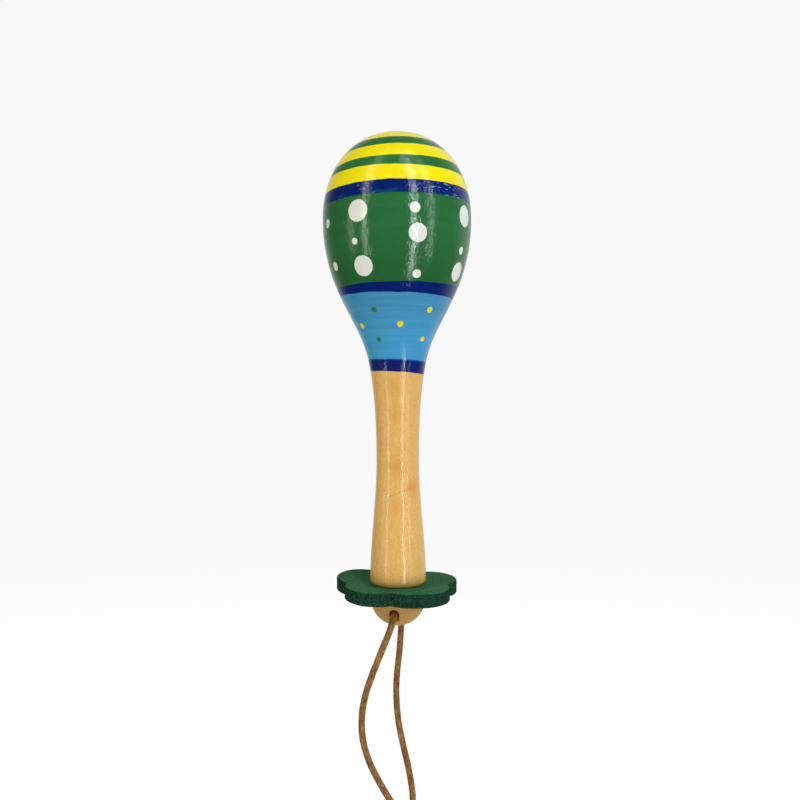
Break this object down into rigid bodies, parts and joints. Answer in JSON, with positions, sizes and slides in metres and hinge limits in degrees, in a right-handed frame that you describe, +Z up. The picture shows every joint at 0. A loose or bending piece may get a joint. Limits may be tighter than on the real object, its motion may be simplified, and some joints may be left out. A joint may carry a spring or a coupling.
{
  "type": "maraca",
  "caption": "Painted wooden maraca: egg-shaped hollow head with seeds, plain turned handle, green felt flower collar, half-ball end knob and a leather wrist lace.",
  "frame": {"origin": "on the turning axis, at the handle's waist, where a hand holds it", "axes": "+Z up the turning axis through the crown of the head; +Y along the lace's bore, whose front mouth faces -Y"},
  "size_m": [0.06, 0.0606, 0.2944],
  "materials": {
    "head_paint": "gloss enamel on wood, in hand-painted bands: yellow, green, navy, green with white dots, navy, light blue with small yellow and green dots, navy",
    "varnished_wood": "clear satin varnish on pale close-grained wood",
    "plain_wood": "unvarnished dowel",
    "green_felt": "thick pressed wool felt, cut edge darker and speckled",
    "brown_leather": "round leather lace, matt and slightly fibrous",
    "dry_seed": "smooth dry seed"
  },
  "bodies": {
    "shaker": {"head_upper_shell": "head_paint", "head_lower_shell": "head_paint", "handle": "varnished_wood", "felt_collar": "green_felt", "end_knob": "varnished_wood", "knob_dowel": "plain_wood"},
    "lace_loop": {"lace_front": "brown_leather", "lace_rear": "brown_leather", "lace_knot": "brown_leather"},
    "seed_body_01": {"seed_01": "dry_seed"},
    "seed_body_02": {"seed_02": "dry_seed"},
    "seed_body_03": {"seed_03": "dry_seed"},
    "seed_body_04": {"seed_04": "dry_seed"},
    "seed_body_05": {"seed_05": "dry_seed"},
    "seed_body_06": {"seed_06": "dry_seed"},
    "seed_body_07": {"seed_07": "dry_seed"},
    "seed_body_08": {"seed_08": "dry_seed"},
    "seed_body_09": {"seed_09": "dry_seed"},
    "seed_body_10": {"seed_10": "dry_seed"},
    "seed_body_11": {"seed_11": "dry_seed"},
    "seed_body_12": {"seed_12": "dry_seed"},
    "seed_body_13": {"seed_13": "dry_seed"},
    "seed_body_14": {"seed_14": "dry_seed"},
    "seed_body_15": {"seed_15": "dry_seed"},
    "seed_body_16": {"seed_16": "dry_seed"},
    "seed_body_17": {"seed_17": "dry_seed"},
    "seed_body_18": {"seed_18": "dry_seed"},
    "seed_body_19": {"seed_19": "dry_seed"},
    "seed_body_20": {"seed_20": "dry_seed"},
    "seed_body_21": {"seed_21": "dry_seed"},
    "seed_body_22": {"seed_22": "dry_seed"},
    "seed_body_23": {"seed_23": "dry_seed"},
    "seed_body_24": {"seed_24": "dry_seed"}
  },
  "joints": [
    {"name": "lace_swing", "type": "hinge", "parent": "shaker", "child": "lace_loop", "pos_m": [0, 0, -0.0629], "axis": [0, 1, 0], "range_deg": [-70, 70]},
    {"name": "seed_bounce_01", "type": "slide", "parent": "shaker", "child": "seed_body_01", "axis": [0, 0, 1], "range_m": [0, 0.0587]},
    {"name": "seed_bounce_02", "type": "slide", "parent": "shaker", "child": "seed_body_02", "axis": [0, 0, 1], "range_m": [0, 0.0584]},
    {"name": "seed_bounce_03", "type": "slide", "parent": "shaker", "child": "seed_body_03", "axis": [0, 0, 1], "range_m": [0, 0.0583]},
    {"name": "seed_bounce_04", "type": "slide", "parent": "shaker", "child": "seed_body_04", "axis": [0, 0, 1], "range_m": [0, 0.058]},
    {"name": "seed_bounce_05", "type": "slide", "parent": "shaker", "child": "seed_body_05", "axis": [0, 0, 1], "range_m": [0, 0.0578]},
    {"name": "seed_bounce_06", "type": "slide", "parent": "shaker", "child": "seed_body_06", "axis": [0, 0, 1], "range_m": [0, 0.0575]},
    {"name": "seed_bounce_07", "type": "slide", "parent": "shaker", "child": "seed_body_07", "axis": [0, 0, 1], "range_m": [0, 0.0574]},
    {"name": "seed_bounce_08", "type": "slide", "parent": "shaker", "child": "seed_body_08", "axis": [0, 0, 1], "range_m": [0, 0.0571]},
    {"name": "seed_bounce_09", "type": "slide", "parent": "shaker", "child": "seed_body_09", "axis": [0, 0, 1], "range_m": [0, 0.0569]},
    {"name": "seed_bounce_10", "type": "slide", "parent": "shaker", "child": "seed_body_10", "axis": [0, 0, 1], "range_m": [0, 0.0567]},
    {"name": "seed_bounce_11", "type": "slide", "parent": "shaker", "child": "seed_body_11", "axis": [0, 0, 1], "range_m": [0, 0.0564]},
    {"name": "seed_bounce_12", "type": "slide", "parent": "shaker", "child": "seed_body_12", "axis": [0, 0, 1], "range_m": [0, 0.0561]},
    {"name": "seed_bounce_13", "type": "slide", "parent": "shaker", "child": "seed_body_13", "axis": [0, 0, 1], "range_m": [0, 0.0559]},
    {"name": "seed_bounce_14", "type": "slide", "parent": "shaker", "child": "seed_body_14", "axis": [0, 0, 1], "range_m": [0, 0.0556]},
    {"name": "seed_bounce_15", "type": "slide", "parent": "shaker", "child": "seed_body_15", "axis": [0, 0, 1], "range_m": [0, 0.0553]},
    {"name": "seed_bounce_16", "type": "slide", "parent": "shaker", "child": "seed_body_16", "axis": [0, 0, 1], "range_m": [0, 0.055]},
    {"name": "seed_bounce_17", "type": "slide", "parent": "shaker", "child": "seed_body_17", "axis": [0, 0, 1], "range_m": [0, 0.0547]},
    {"name": "seed_bounce_18", "type": "slide", "parent": "shaker", "child": "seed_body_18", "axis": [0, 0, 1], "range_m": [0, 0.0545]},
    {"name": "seed_bounce_19", "type": "slide", "parent": "shaker", "child": "seed_body_19", "axis": [0, 0, 1], "range_m": [0, 0.0542]},
    {"name": "seed_bounce_20", "type": "slide", "parent": "shaker", "child": "seed_body_20", "axis": [0, 0, 1], "range_m": [0, 0.0539]},
    {"name": "seed_bounce_21", "type": "slide", "parent": "shaker", "child": "seed_body_21", "axis": [0, 0, 1], "range_m": [0, 0.0536]},
    {"name": "seed_bounce_22", "type": "slide", "parent": "shaker", "child": "seed_body_22", "axis": [0, 0, 1], "range_m": [0, 0.0533]},
    {"name": "seed_bounce_23", "type": "slide", "parent": "shaker", "child": "seed_body_23", "axis": [0, 0, 1], "range_m": [0, 0.053]},
    {"name": "seed_bounce_24", "type": "slide", "parent": "shaker", "child": "seed_body_24", "axis": [0, 0, 1], "range_m": [0, 0.0527]}
  ]
}
